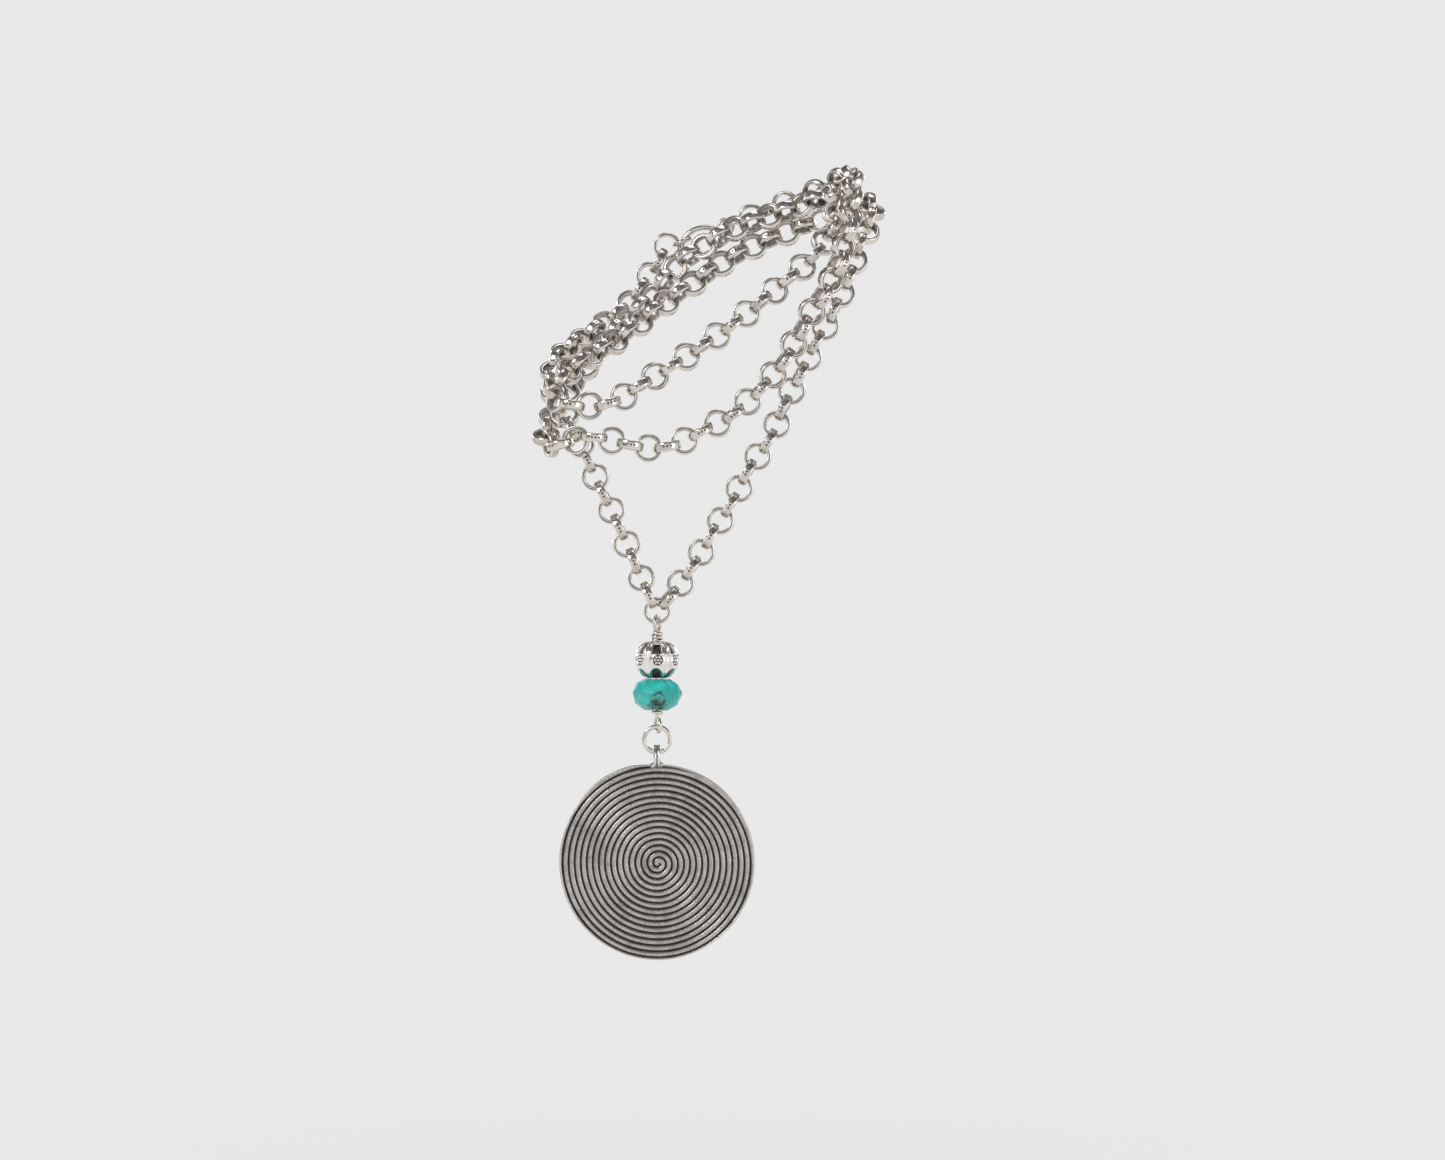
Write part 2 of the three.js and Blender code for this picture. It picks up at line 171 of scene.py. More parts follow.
class Shell:
    """Points in millimetres and faces, with each point's blackening and each face corner's place
    on the surface."""

    def __init__(self):
        self.points = []
        self.faces = []
        self.dark = []
        self.chart = []

    def grid(self, rows, dark, along=None, across=None, wrap_rows=False):
        """Joins rows of points, which are rings, by quads. along and across are the chart's numbers for
        rows and columns."""
        first = len(self.points)
        count, columns = len(rows), len(rows[0])
        for row, tones in zip(rows, dark):
            self.points += row
            self.dark += tones
        down = count if wrap_rows else count - 1
        along = along or [i / down for i in range(down + 1)]
        across = across or [j / columns for j in range(columns + 1)]
        for i in range(down):
            for j in range(columns):
                ahead, beside = (i + 1) % count, (j + 1) % columns
                self.faces.append((
                    first + i * columns + j,
                    first + i * columns + beside,
                    first + ahead * columns + beside,
                    first + ahead * columns + j,
                ))
                self.chart += [
                    (along[i], across[j]), (along[i], across[j + 1]),
                    (along[i + 1], across[j + 1]), (along[i + 1], across[j]),
                ]
        return first

    def cap(self, corners):
        """Closes a ring of point numbers with one face."""
        self.faces.append(tuple(corners))
        self.chart += [(0, 0)] * len(corners)

    def add(self, other, placing=None):
        """Adds another shell's points and faces, moved by a matrix."""
        first = len(self.points)
        self.points += [placing @ p for p in other.points] if placing else other.points
        self.faces += [tuple(first + n for n in face) for face in other.faces]
        self.dark += other.dark
        self.chart += other.chart
        return self


def into_scene(name, data):
    """An object made from data, in the scene."""
    made = bpy.data.objects.new(name, data)
    bpy.context.scene.collection.objects.link(made)
    return made


def piece(name, shell, body, material, nodes, sharp=40, merge=0.0):
    """Makes a shell into a piece that rides a body and stands for CAD nodes.
    Edges sharper than sharp degrees stay sharp, and points closer than merge become one."""
    mesh = bpy.data.meshes.new(name)
    mesh.from_pydata([p * MM for p in shell.points], [], shell.faces)
    mesh.attributes.new("dark", "FLOAT", "POINT").data.foreach_set("value", shell.dark)
    chart = mesh.uv_layers.new(name="chart")
    chart.data.foreach_set("uv", [number for corner in shell.chart for number in corner])
    edit = bmesh.new()
    edit.from_mesh(mesh)
    if merge:
        bmesh.ops.remove_doubles(edit, verts=edit.verts, dist=merge * MM)
        bmesh.ops.dissolve_degenerate(edit, edges=edit.edges, dist=merge * MM / 10)
    bmesh.ops.recalc_face_normals(edit, faces=edit.faces)
    edit.to_mesh(mesh)
    edit.free()
    mesh.shade_smooth()
    mesh.set_sharp_from_angle(angle=math.radians(sharp))
    mesh.materials.append(material)
    made = into_scene(name, mesh)
    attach(made, body)
    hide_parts(*nodes)
    return made


def loop(radius, sides=14):
    """A round section."""
    return [(radius * math.cos(TURN * i / sides), radius * math.sin(TURN * i / sides))
            for i in range(sides)]


def cushion(half_wide, half_deep, sides=20, power=0.62):
    """A section like a rectangle with well rounded corners."""
    section = []
    for i in range(sides):
        c, s = math.cos(TURN * i / sides), math.sin(TURN * i / sides)
        section.append((
            half_wide * math.copysign(abs(c) ** power, c),
            half_deep * math.copysign(abs(s) ** power, s),
        ))
    return section


def directions(line, closed):
    """The direction of a line at each of its points."""
    count = len(line)
    found = []
    for i in range(count):
        ahead = line[(i + 1) % count] if closed else line[min(i + 1, count - 1)]
        behind = line[i - 1] if closed or i else line[0]
        found.append((ahead - behind).normalized())
    return found


def sides_of(tangents, start):
    """A direction square to a line at each point, carried along it without twist."""
    side = (start - tangents[0] * start.dot(tangents[0])).normalized()
    found = [side]
    for before, after in zip(tangents, tangents[1:]):
        side = before.rotation_difference(after) @ side
        side = (side - after * side.dot(after)).normalized()
        found.append(side)
    return found


def sweep(line, section, side, closed=False, rounded=0.0):
    """A solid along a line. section gives (side, up) offsets at a share of the line from 0 to 1,
    side is the first of the directions that they're measured in, and rounded eases both ends."""
    shell = Shell()
    tangents = directions(line, closed)
    sides = sides_of(tangents, side)
    stations = [(p, t, s, i / (len(line) - 1), 1.0)
                for i, (p, t, s) in enumerate(zip(line, tangents, sides))]
    if rounded:
        start, end = stations[0], stations[-1]
        eased = [math.radians(a) for a in (30, 58, 80)]
        for a in eased:
            stations.insert(0, (start[0] - start[1] * rounded * math.sin(a), *start[1:4], math.cos(a)))
            stations.append((end[0] + end[1] * rounded * math.sin(a), *end[1:4], math.cos(a)))
    rows = []
    for place, tangent, across, share, size in stations:
        raised = tangent.cross(across)
        rows.append([place + across * a * size + raised * b * size for a, b in section(share)])
    first = shell.grid(rows, [[0.0] * len(row) for row in rows], wrap_rows=closed)
    if not closed:
        columns = len(rows[0])
        last = first + columns * (len(rows) - 1)
        shell.cap(range(first, first + columns))
        shell.cap(range(last, last + columns))
    return shell


def wire(line, radius, side=DEPTH):
    """A round wire along a line, with rounded ends."""
    section = loop(radius)
    return sweep(line, lambda share: section, side, rounded=radius * 0.7)


def turned(profile, steps, centre, axis, dark=None):
    """A solid of revolution. profile is a list of (radius, height along the axis)."""
    shell = Shell()
    across = axis.orthogonal().normalized()
    beyond = axis.cross(across)
    tones = dark or [0.0] * len(profile)
    rows = []
    for i in range(steps):
        out = across * math.cos(TURN * i / steps) + beyond * math.sin(TURN * i / steps)
        rows.append([centre + out * r + axis * h for r, h in profile])
    shell.grid(rows, [tones] * steps, wrap_rows=True)
    return shell


def button(centre, axis, radius, low, high, ease):
    """A short solid cylinder with eased edges between two heights on its axis."""
    pinhole = radius * 0.02
    bend = ease * 0.3
    profile = [
        (pinhole, low), (radius - ease, low), (radius - bend, low + bend), (radius, low + ease),
        (radius, high - ease), (radius - bend, high - bend), (radius - ease, high), (pinhole, high),
    ]
    return turned(profile, 28, centre, axis)


def arc(centre, first, second, from_deg, to_deg, count):
    """Points on an ellipse with half axes first and second, between two angles."""
    found = []
    for i in range(count):
        a = math.radians(from_deg + (to_deg - from_deg) * i / (count - 1))
        found.append(centre + first * math.cos(a) + second * math.sin(a))
    return found


def sawn_ring(centre, first, second, cut_deg, gap_deg, step, count):
    """Points on a ring that is sawn through at an angle, and whose ends are a step apart sideways."""
    line = arc(centre, first, second, cut_deg + gap_deg / 2, cut_deg + 360 - gap_deg / 2, count)
    return [p + step * (i / (count - 1) - 0.5) for i, p in enumerate(line)]


# ---- materials


def node(tree, kind, inputs=None, **settings):
    """A shader node. inputs are values or sockets by name or number."""
    made = tree.nodes.new("ShaderNode" + kind)
    for name, value in settings.items():
        setattr(made, name, value)
    for name, value in (inputs or {}).items():
        if isinstance(value, bpy.types.NodeSocket):
            tree.links.new(value, made.inputs[name])
        else:
            made.inputs[name].default_value = value
    return made


def ranged(tree, value, low, high, to_low=0.0, to_high=1.0):
    """Maps a number from one range to another, eased and held at the ends."""
    return node(tree, "MapRange", {
        "Value": value, "From Min": low, "From Max": high, "To Min": to_low, "To Max": to_high,
    }, interpolation_type="SMOOTHSTEP").outputs["Result"]


def maths(tree, operation, first, second=0.0):
    """The result of a sum on one or two numbers."""
    return node(tree, "Math", {0: first, 1: second}, operation=operation).outputs[0]


def tint(tree, share, first, second):
    """Mixes two colours, each a socket or three numbers."""
    first, second = [(*end, 1) if isinstance(end, tuple) else end for end in (first, second)]
    return node(tree, "Mix", {0: share, 6: first, 7: second}, data_type="RGBA").outputs[2]


def speckle(tree, vector, scale, detail=3.0, roughness=0.55, distortion=0.0):
    """Cloudy noise, with scale in clouds to a metre where the vector is a place."""
    return node(tree, "TexNoise", {
        "Vector": vector, "Scale": scale, "Detail": detail, "Roughness": roughness,
        "Distortion": distortion,
    }).outputs["Fac"]


def blank_material(name):
    """A new material, with its tree and its surface node."""
    material = bpy.data.materials.new(name)
    material.use_nodes = True
    tree = material.node_tree
    return material, tree, tree.nodes["Principled BSDF"]


def stamped_dots(tree):
    """Three small stamped dots in a row on each side of a link's outer face, 1 in a dot.
    The chart holds the angle round the link as a share, and the distance across it in millimetres."""
    around_mm, gap, dot = 16.4, 0.66, 0.24
    chart = node(tree, "UVMap", uv_map="chart").outputs["UV"]
    parts = node(tree, "SeparateXYZ", {"Vector": chart})
    half_turn = maths(tree, "MODULO", parts.outputs["X"], 0.5)
    from_side = maths(tree, "SUBTRACT", half_turn, 0.25)
    aside = maths(tree, "ABSOLUTE", maths(tree, "MULTIPLY", from_side, around_mm))
    folded = maths(tree, "PINGPONG", aside, gap / 2)
    to_dot = node(tree, "CombineXYZ", {"X": folded, "Y": parts.outputs["Y"]}).outputs[0]
    away = node(tree, "VectorMath", {0: to_dot}, operation="LENGTH").outputs["Value"]
    inside = ranged(tree, away, dot, dot * 0.7)
    near = maths(tree, "LESS_THAN", aside, gap * 1.5)
    return maths(tree, "MULTIPLY", inside, near)


def silver(name, light, shade, black, polish, grain, tarnish, dots=False, brushed_with_glints=False):
    """Worn silver, blackened where the piece's dark attribute is 1 and lighter where it is -1: rubbed
    wear, and on the disc's rim partly a painted highlight. polish is its roughness, grain the size
    of its fine marks in millimetres and tarnish the share of soft dull patches. A brushed face also
    gets brush strokes and painted glints, white specks of highlight painted into its colour."""
    material, tree, surface = blank_material(name)
    place = node(tree, "TexCoord").outputs["Object"]
    recess = node(tree, "Attribute", attribute_name="dark").outputs["Fac"]
    cloud = speckle(tree, place, 420, 4)
    fine = speckle(tree, place, 1 / (grain * MM), 5, 0.65)
    uneven = maths(tree, "MULTIPLY", recess, ranged(tree, fine, 0.25, 0.7, 0.8, 1.12))
    brightened = ranged(tree, recess, 0.0, -1.0)
    patches = ranged(tree, cloud, 0.5, 0.78, 0.0, tarnish)
    mask = maths(tree, "MAXIMUM", uneven, patches)
    height = fine
    if dots:
        mask = maths(tree, "MAXIMUM", mask, stamped_dots(tree))
        height = maths(tree, "SUBTRACT", fine, maths(tree, "MULTIPLY", mask, 3.0))
    if brushed_with_glints:
        chart = node(tree, "UVMap", uv_map="chart").outputs["UV"]
        stretched = node(tree, "Mapping", {"Vector": chart, "Scale": (1.6, 16, 1)}).outputs["Vector"]
        strokes = speckle(tree, stretched, 1.0, 6, 0.7)
        height = maths(tree, "ADD", maths(tree, "MULTIPLY", fine, 0.5), strokes)
        mask = maths(tree, "MAXIMUM", mask, ranged(tree, strokes, 0.55, 0.8, 0.0, 0.3))
        # Painted glints: specks of highlight painted into the colour as lighter silver.
        painted_glints = speckle(tree, place, 2600, 3, 0.7)
        brightened = maths(tree, "MAXIMUM", brightened, ranged(tree, painted_glints, 0.52, 0.72, 0.0, 0.8))
    warm = tint(tree, ranged(tree, cloud, 0.3, 0.7), light, shade)
    # Lighter silver where rubbed, and painted highlights: the disc's glints and rim.
    warm = tint(tree, brightened, warm, RUBBED_AND_HIGHLIGHT_SILVER)
    colour = tint(tree, mask, warm, black)
    tree.links.new(colour, surface.inputs["Base Color"])
    tree.links.new(ranged(tree, mask, 0.0, 1.0, 1.0, 0.35), surface.inputs["Metallic"])
    wear = maths(tree, "ADD", ranged(tree, fine, 0.3, 0.75, polish * 0.8, polish * 1.5),
                 ranged(tree, mask, 0.0, 1.0, 0.0, 0.32))
    tree.links.new(wear, surface.inputs["Roughness"])
    bump = node(tree, "Bump", {"Height": height, "Strength": 0.35, "Distance": 0.03 * MM})
    tree.links.new(bump.outputs["Normal"], surface.inputs["Normal"])
    return material


def turquoise(centre):
    """Polished turquoise. Low on the front is a broken ring of dark matrix with a speck inside it
    and a brown patch under it, and faint veins run elsewhere."""
    material, tree, surface = blank_material("turquoise_stone")
    place = node(tree, "TexCoord").outputs["Object"]
    patchy = speckle(tree, place, 900, 4, 0.65)
    cloud = speckle(tree, place, 240, 2, 0.5, 0.5)
    fine = speckle(tree, place, 4200, 3, 0.5)
    bend = 1.8
    drift = Vector((bend / 2,) * 3)
    wander = node(tree, "TexNoise", {"Vector": place, "Scale": 800}).outputs["Color"]
    shift = node(tree, "VectorMath", {0: wander, 1: (bend * MM,) * 3}, operation="MULTIPLY").outputs[0]
    shifted = node(tree, "VectorMath", {0: place, 1: shift}, operation="ADD").outputs[0]
    cells = node(tree, "TexVoronoi", {"Vector": shifted, "Scale": 300},
                 feature="DISTANCE_TO_EDGE").outputs["Distance"]

    def away_from(x, y, z):
        """How far the bent place is from a spot, which is given from the stone's centre."""
        spot = centre + drift + Vector((x, y, z))
        return node(tree, "VectorMath", {0: shifted, 1: spot * MM}, operation="DISTANCE").outputs["Value"]

    ring_radius = 1.45
    off_ring = maths(tree, "SUBTRACT", away_from(0.25, -4.6, -1.05), ring_radius * MM)
    off_ring = maths(tree, "ABSOLUTE", off_ring)
    ring = maths(tree, "MULTIPLY", ranged(tree, off_ring, 0.5 * MM, 0.1 * MM, 0.0, 0.9),
                 ranged(tree, patchy, 0.4, 0.56, 0.12, 1.0))
    speck = ranged(tree, away_from(0.5, -4.9, -0.6), 0.5 * MM, 0.2 * MM, 0.0, 0.6)
    patch = maths(tree, "MULTIPLY", ranged(tree, away_from(0.15, -4.0, -2.5), 2.3 * MM, 1.1 * MM),
                  ranged(tree, patchy, 0.38, 0.54, 0.45, 1.0))
    veins = maths(tree, "MULTIPLY", ranged(tree, cells, 0.045, 0.0),
                  ranged(tree, patchy, 0.5, 0.66, 0.0, 0.45))
    matrix = maths(tree, "MAXIMUM", maths(tree, "MAXIMUM", ring, speck),
                   maths(tree, "MAXIMUM", patch, veins))
    stone = tint(tree, ranged(tree, cloud, 0.34, 0.66), (0.010, 0.31, 0.27), (0.038, 0.46, 0.41))
    stone = tint(tree, ranged(tree, fine, 0.5, 0.75, 0.0, 0.16), stone, (0.12, 0.56, 0.50))
    colour = tint(tree, matrix, stone, (0.018, 0.022, 0.016))
    tree.links.new(colour, surface.inputs["Base Color"])
    tree.links.new(ranged(tree, fine, 0.3, 0.8, 0.07, 0.13), surface.inputs["Roughness"])
    height = maths(tree, "SUBTRACT", maths(tree, "MULTIPLY", fine, 0.2), matrix)
    bump = node(tree, "Bump", {"Height": height, "Strength": 0.25, "Distance": 0.03 * MM})
    tree.links.new(bump.outputs["Normal"], surface.inputs["Normal"])
    surface.inputs["Subsurface Weight"].default_value = 0.08
    surface.inputs["Subsurface Radius"].default_value = (0.0004, 0.0009, 0.0008)
    surface.inputs["IOR"].default_value = 1.62
    return material


CHAIN = silver("chain_silver", light=(0.80, 0.75, 0.695), shade=(0.60, 0.55, 0.50),
               black=(0.045, 0.034, 0.030), polish=0.16, grain=0.22, tarnish=0.14, dots=True)
BRIGHT = silver("wire_silver", light=(0.80, 0.76, 0.71), shade=(0.62, 0.575, 0.525),
                black=(0.05, 0.04, 0.035), polish=0.15, grain=0.16, tarnish=0.14)
BEAD = silver("bead_silver", light=(0.92, 0.89, 0.86), shade=(0.80, 0.77, 0.73),
              black=(0.014, 0.011, 0.013), polish=0.13, grain=0.2, tarnish=0.06)
# The disc's silver: brushed, with painted glints of highlight in its colour.
PLATE = silver("disc_silver", light=(0.52, 0.48, 0.445), shade=(0.385, 0.36, 0.335),
               black=(0.007, 0.008, 0.017), polish=0.25, grain=0.12, tarnish=0.2, brushed_with_glints=True)
STEEL = silver("steel", light=(0.55, 0.55, 0.56), shade=(0.42, 0.42, 0.44),
               black=(0.05, 0.045, 0.04), polish=0.22, grain=0.1, tarnish=0.12)


# ---- chain


def mirrored(half):
    """A closed section from the half of it at and above 0, as (height, radius, blackening)."""
    return half + [(-height, r, tone) for height, r, tone in reversed(half[1:-1])]


def link_shell():
    """One link about local Y, with its local X along the chain: a band with a groove in each side
    and a blackened inner face. The chart across it is the height on the outer face, and off it
    elsewhere."""
    section = mirrored([
        (0.0, 2.66, 0.0), (0.34, 2.655, 0.0), (0.62, 2.62, -0.3), (0.76, 2.53, -0.8), (0.81, 2.4, -0.3),
        (0.79, 2.34, 0.45), (0.72, 2.27, 1.0), (0.79, 2.2, 0.45), (0.81, 2.1, -0.2),
        (0.77, 1.98, -0.5), (0.62, 1.9, 0.3), (0.0, 1.88, 0.6),
    ])
    outer_from, off_face = 2.55, 5.0
    rows = []
    for i in range(LINK_STEPS):
        c, s = math.cos(TURN * i / LINK_STEPS), math.sin(TURN * i / LINK_STEPS)
        rows.append([Vector((r * c, height, r * s)) for height, r, _ in section])
    across = [height if r > outer_from else off_face for height, r, _ in section]
    shell = Shell()
    shell.grid(rows, [[tone for _, _, tone in section]] * LINK_STEPS, wrap_rows=True,
               across=[*across, across[0]])
    return shell


LINK = link_shell()


def place_link(shell, centre, along, axis, tilt):
    """Adds a link with its axis square to the chain, leaning by a small random angle."""
    axis = (axis - along * axis.dot(along)).normalized()
    basis = Matrix((along, axis, along.cross(axis))).transposed().to_4x4()
    lean = [math.radians(rng.gauss(0, tilt)) for _ in range(3)]
    turn = (Matrix.Rotation(lean[0], 4, "X") @ Matrix.Rotation(lean[1] * 0.5, 4, "Y")
            @ Matrix.Rotation(lean[2] * 0.6, 4, "Z"))
    size = Matrix.Scale(LINK_GROWS * rng.uniform(0.985, 1.01), 4)
    shell.add(LINK, Matrix.Translation(centre) @ basis @ turn @ size)


def strand(side, count):
    """The links of one arm of the V, where the CAD has them."""
    names = [f"link_{side}_{i:02d}" for i in range(1, count + 1)]
    centres = [middle("apex_link"), *[middle(name) for name in names]]
    shell = Shell()
    for i in range(1, count + 1):
        ahead = centres[min(i + 1, count)]
        along = (ahead - centres[i - 1]).normalized()
        axis = along.cross(DEPTH) if i % 2 else DEPTH
        place_link(shell, centres[i], along, axis, LINK_TILT if i < count else 0.0)
    piece(f"v_chain_{side}", shell, "front_strands", CHAIN, names)


def flowing(corners):
    """Close points in millimetres along the centripetal curve through a route's points in metres."""
    given = [Vector(c) / MM for c in corners]
    ends = [2 * given[0] - given[1], *given, 2 * given[-1] - given[-2]]
    line = []
    for p0, p1, p2, p3 in zip(ends, ends[1:], ends[2:], ends[3:]):
        d0, d1, d2 = [math.sqrt((b - a).length) for a, b in ((p0, p1), (p1, p2), (p2, p3))]
        leave = ((p1 - p0) / d0 - (p2 - p0) / (d0 + d1) + (p2 - p1) / d1) * d1
        arrive = ((p2 - p1) / d1 - (p3 - p1) / (d1 + d2) + (p3 - p2) / d2) * d1
        for i in range(CURVE_STEPS):
            t = i / CURVE_STEPS
            line.append(
                p1 * (2 * t**3 - 3 * t**2 + 1) + leave * (t**3 - 2 * t**2 + t)
                + p2 * (3 * t**2 - 2 * t**3) + arrive * (t**3 - t**2))
    return [*line, given[-1]]


def distances(line):
    """How far along a line each of its points is."""
    total = [0.0]
    for a, b in zip(line, line[1:]):
        total.append(total[-1] + (b - a).length)
    return total


def link_places(line, first, last, count):
    """count links evenly spaced between two distances along a line, as (centre, direction)."""
    along = directions(line, False)
    reached = distances(line)
    found = []
    for i in range(count):
        wanted = first + (last - first) * i / (count - 1)
        n = max(0, min(len(line) - 2, sum(1 for d in reached if d <= wanted) - 1))
        share = (wanted - reached[n]) / (reached[n + 1] - reached[n])
        centre = line[n] + (line[n + 1] - line[n]) * share
        held = min(1, max(0, share))
        found.append((centre, along[n].lerp(along[n + 1], held).normalized()))
    return found


def angle_about(axis, start, end, step):
    """The smallest turn about an axis from start to end, taking turns of step as no turn."""
    angle = math.atan2(axis.dot(start.cross(end)), start.dot(end))
    return angle - step * round(angle / step)


def lap_axes(places, first_axis, last_axis, level):
    """Each link's axis. The first and last are given, links near the level points face the front,
    and between them the turn is shared out evenly."""
    along = [t for _, t in places]
    carried = sides_of(along, first_axis)
    keys = [(0, 0.0)]
    for target in level:
        n = min(range(len(places)), key=lambda i: (places[i][0] - target).length)
        keys.append((n, angle_about(along[n], carried[n], DEPTH, TURN / 4)))
    end = len(places) - 1
    ended = carried[end] if end % 2 == 0 else along[end].cross(carried[end])
    last_turn = angle_about(along[end], ended, last_axis, TURN / 2)
    keys.append((end, last_turn))
    axes = []
    for i in range(len(places)):
        (n0, a0), (n1, a1) = next((k0, k1) for k0, k1 in zip(keys, keys[1:]) if i <= k1[0])
        turn = a0 + (a1 - a0) * (i - n0) / (n1 - n0)
        axis = carried[i] if i % 2 == 0 else along[i].cross(carried[i])
        axes.append(Matrix.Rotation(turn, 3, along[i]) @ axis)
    return axes, abs(last_turn)


def round_hand(line):
    """The places and axes of the links of the first two laps, which are one length of chain. It has the
    number of links that twists it less."""
    last = distances(line)[-1] - INSIDE_CLASP_RING
    count = round(last / LINK_PITCH) + 1
    level = [Vector(p) / MM for p in SWAG_MIDDLES]
    choices = []
    for number in (count, count + 1):
        places = link_places(line, 0, last, number)
        axes, twist = lap_axes(places, places[0][1].cross(DEPTH), DEPTH, level)
        choices.append((twist, places, axes))
    _, places, axes = min(choices, key=lambda choice: choice[0])
    return places, axes, last / (len(places) - 1)


def laps():
    """The links of the three laps, which pass through the last links of the V and the clasp's rings."""
    lines = [flowing(run) for run in RUNS]
    shells = [Shell() for _ in RUNS]
    places, axes, step = round_hand(lines[0] + lines[1])
    split = distances(lines[0])[-1] + (lines[1][0] - lines[0][-1]).length / 2
    for i, ((centre, along), axis) in enumerate(zip(places, axes)):
        held = shells[0] if step * i < split else shells[1]
        place_link(held, centre, along, axis, LINK_TILT if i else 0.0)

    last = distances(lines[2])[-1] - INSIDE_LEFT_ARM
    count = round((last - INSIDE_END_RING) / LINK_PITCH) + 1
    count += 1 - count % 2
    places = link_places(lines[2], INSIDE_END_RING, last, count)
    axes, _ = lap_axes(places, DEPTH, DEPTH, [])
    for i, ((centre, along), axis) in enumerate(zip(places, axes)):
        place_link(shells[2], centre, along, axis, LINK_TILT if i < count - 1 else 0.0)

    for i, (shell, line, corners) in enumerate(zip(shells, lines, RUNS), 1):
        lap = piece(f"chain_lap_{i}", shell, "chain", CHAIN, [f"chain_run_{i}"])


# ---- pendant


def apex_ring():
    """The link at the foot of the V, which faces the front."""
    shell = Shell()
    place_link(shell, middle("apex_link"), Vector((1, 0, 0)), DEPTH, 0.0)
    piece("apex_ring", shell, "front_strands", CHAIN, ["apex_link"])


def hook_wire():
    """One wire: a lower eye round the jump ring, the stem through the beads, an upper eye through
    the apex link, and its tail wrapped round the stem."""
    axis = middle("disc_plate").x
    plane = middle("disc_plate").y
    low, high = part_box("dangle_wire")
    radius, upper_mean, lower_mean = 0.42, 1.5, 1.27
    upper = high.z / MM - radius - upper_mean
    lower = low.z / MM + radius + lower_mean
    ajar = math.radians(17)
    lower_side = Vector((math.sin(ajar), -math.cos(ajar), 0))
    upper_side = Vector((math.sin(-ajar), -math.cos(ajar), 0))

    def at(x, y, z):
        return Vector((axis + x, plane + y, z))

    line = arc(at(0, 0, lower), lower_side * lower_mean, UP * lower_mean, 72, -248, 30)
    opened = 0.3
    line = [p + Vector((opened * (1 - i / 29), 0, 0)) for i, p in enumerate(line)]
    neck = lower + lower_mean + 0.55
    stem_top = upper - upper_mean - 0.5
    line += [at(0, 0, neck + (stem_top - neck) * i / 8) for i in range(9)]
    line += arc(at(0, 0, upper), upper_side * upper_mean, UP * upper_mean, -112, 236, 34)
    wrap_top = upper - upper_mean - 0.18
    wraps, drop, wrap_radius = 2.1, 0.74, 0.8
    for i in range(int(wraps * 20) + 1):
        a = math.radians(200) + TURN * i / 20
        out = wrap_radius * (1 if i > 3 else 0.55 + 0.15 * i)
        line.append(at(out * math.cos(a), out * math.sin(a), wrap_top - drop * i / 20))
    line.append(line[-1] + Vector((0.45, -0.1, 0.12)))
    piece("hook_wire", wire(line, radius * 0.93), "dangle", BRIGHT, ["dangle_wire"])


def stop_coil():
    """The turn of wire that holds the stone up."""
    centre = middle("stop_washer")
    lean = Matrix.Rotation(math.radians(7), 3, "Y")
    radius, rise, turns, steps = 0.86, 0.16, 1.04, 30
    line = [centre + lean @ Vector((radius * math.cos(a), radius * math.sin(a), rise * (a / TURN - 0.5)))
            for a in (TURN * turns * i / steps for i in range(steps + 1))]
    piece("stop_coil", wire(line, 0.31, UP), "dangle", BRIGHT, ["stop_washer"])


